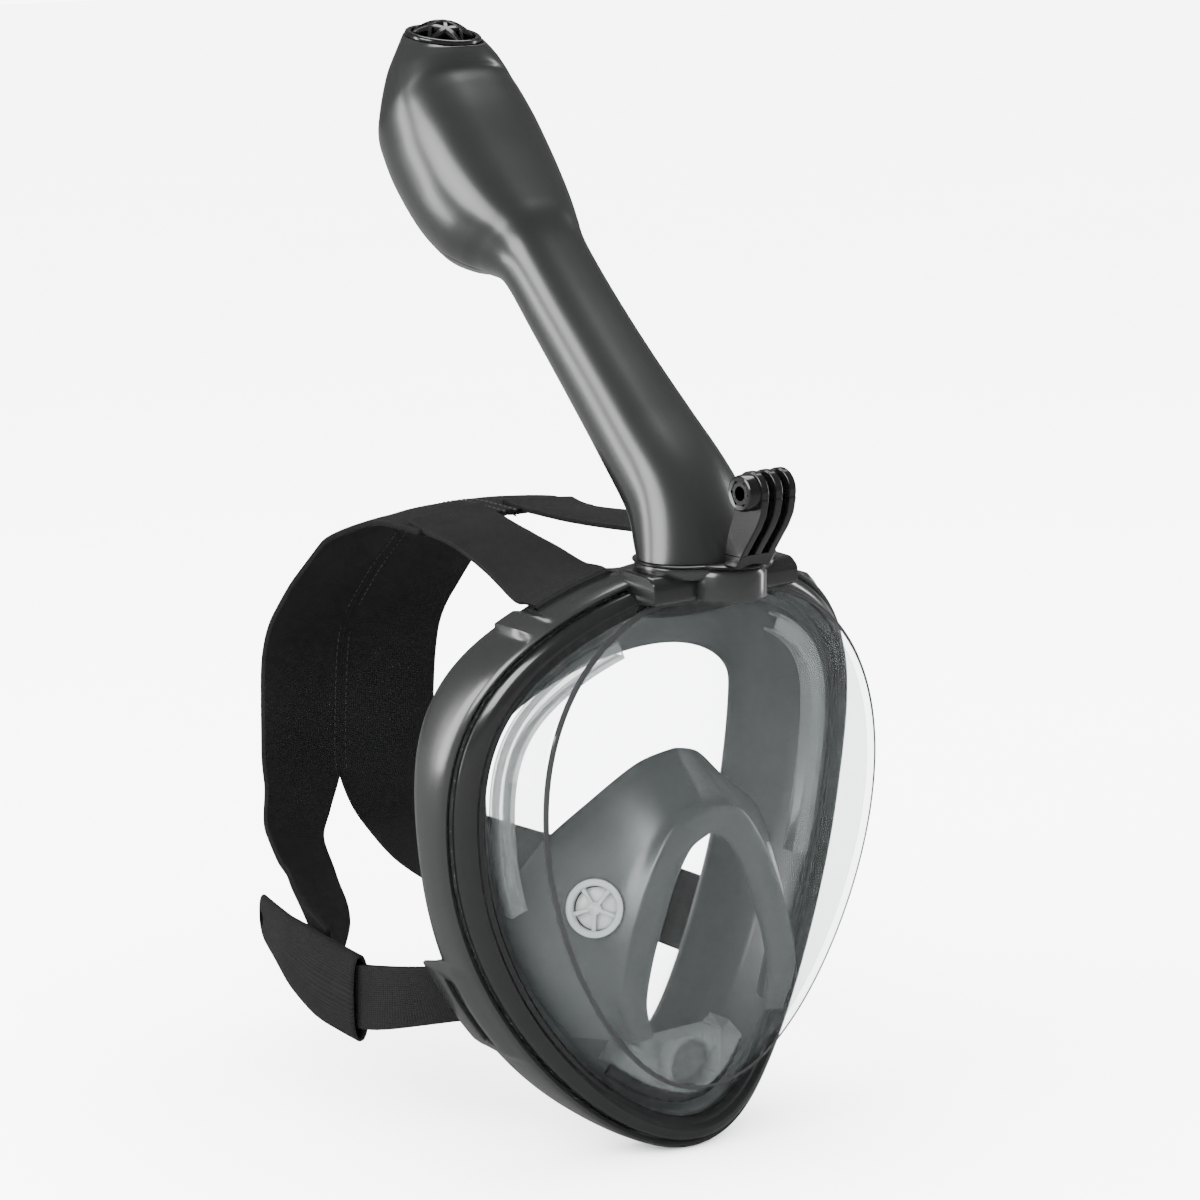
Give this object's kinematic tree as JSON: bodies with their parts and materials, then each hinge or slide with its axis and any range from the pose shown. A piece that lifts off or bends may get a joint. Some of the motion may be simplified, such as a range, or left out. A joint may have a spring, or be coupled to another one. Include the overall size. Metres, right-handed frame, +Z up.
{
  "type": "full face snorkel mask",
  "caption": "Full face snorkel mask: flat clear window in an egg-shaped frame, leaning dry-top snorkel, camera mount, nose cup and fabric head strap.",
  "frame": {"origin": "centre of the face opening, at the middle of the skirt's sealing lip", "axes": "+Z up towards the forehead, -Y out through the flat window, +Y towards the wearer's head, +X the mask's left as worn"},
  "size_m": [0.1868, 0.2782, 0.4026],
  "materials": {
    "frame_plastic": "satin gloss",
    "snorkel_plastic": "gloss",
    "clear_lens": "clear, polished",
    "silicone_dark": "satin silicone",
    "silicone_grey": "satin silicone",
    "valve_plastic": "satin",
    "flap_silicone": "translucent silicone",
    "smoke_clear": "smoky clear",
    "mount_black": "gloss black",
    "nut_steel": "plated",
    "oring_rubber": "matte",
    "float_plastic": "matte",
    "spring_steel": "bright",
    "strap_fabric": "ribbed knit over foam",
    "strap_webbing": "woven elastic"
  },
  "bodies": {
    "mask": {"rear_frame": "frame_plastic", "front_bezel": "frame_plastic", "socket_housing": "frame_plastic", "lens": "clear_lens", "face_skirt": "silicone_dark", "orinasal_cup": "silicone_grey", "inhale_seat_left": "valve_plastic", "inhale_seat_right": "valve_plastic", "exhale_duct_left": "smoke_clear", "exhale_duct_right": "smoke_clear", "chin_valve_body": "smoke_clear", "chin_valve_grille": "mount_black", "camera_mount": "mount_black", "mount_hex_nut": "nut_steel", "headstrap_panel": "strap_fabric", "upper_strap_left": "strap_webbing", "upper_strap_right": "strap_webbing", "lower_strap_left": "strap_webbing", "lower_strap_right": "strap_webbing", "strap_sleeve_left": "strap_fabric", "strap_sleeve_right": "strap_fabric"},
    "snorkel": {"snorkel_front_shell": "snorkel_plastic", "snorkel_rear_cover": "snorkel_plastic", "snorkel_plug": "mount_black", "plug_oring": "oring_rubber", "tube_divider": "mount_black", "float_cage": "mount_black", "valve_seat_ring": "mount_black", "top_grille": "mount_black", "latch_spring": "spring_steel"},
    "float": {"float_body": "float_plastic", "float_seal": "flap_silicone"},
    "latch": {"latch_button": "snorkel_plastic"},
    "inhale_valve_left": {"inhale_flap_left": "flap_silicone"},
    "inhale_valve_right": {"inhale_flap_right": "flap_silicone"},
    "chin_valve": {"chin_valve_membrane": "flap_silicone"}
  },
  "joints": [
    {"name": "snorkel_pull", "type": "slide", "parent": "mask", "child": "snorkel", "axis": [0, 0, 1], "range_m": [0, 0.03]},
    {"name": "latch_press", "type": "slide", "parent": "snorkel", "child": "latch", "axis": [0, -0.682, 0.7314], "range_m": [0, 0.0022], "stiffness_N_per_m": 400},
    {"name": "float_rise", "type": "slide", "parent": "snorkel", "child": "float", "axis": [0, 0.7314, 0.682], "range_m": [0, 0.0098]},
    {"name": "inhale_left_open", "type": "slide", "parent": "mask", "child": "inhale_valve_left", "axis": [0.7605, 0.5904, -0.2702], "range_m": [0, 0.0015], "stiffness_N_per_m": 10},
    {"name": "inhale_right_open", "type": "slide", "parent": "mask", "child": "inhale_valve_right", "axis": [-0.7605, 0.5904, -0.2702], "range_m": [0, 0.0015], "stiffness_N_per_m": 10},
    {"name": "chin_drain_open", "type": "slide", "parent": "mask", "child": "chin_valve", "axis": [0, -1, 0], "range_m": [0, 0.0015], "stiffness_N_per_m": 10}
  ]
}
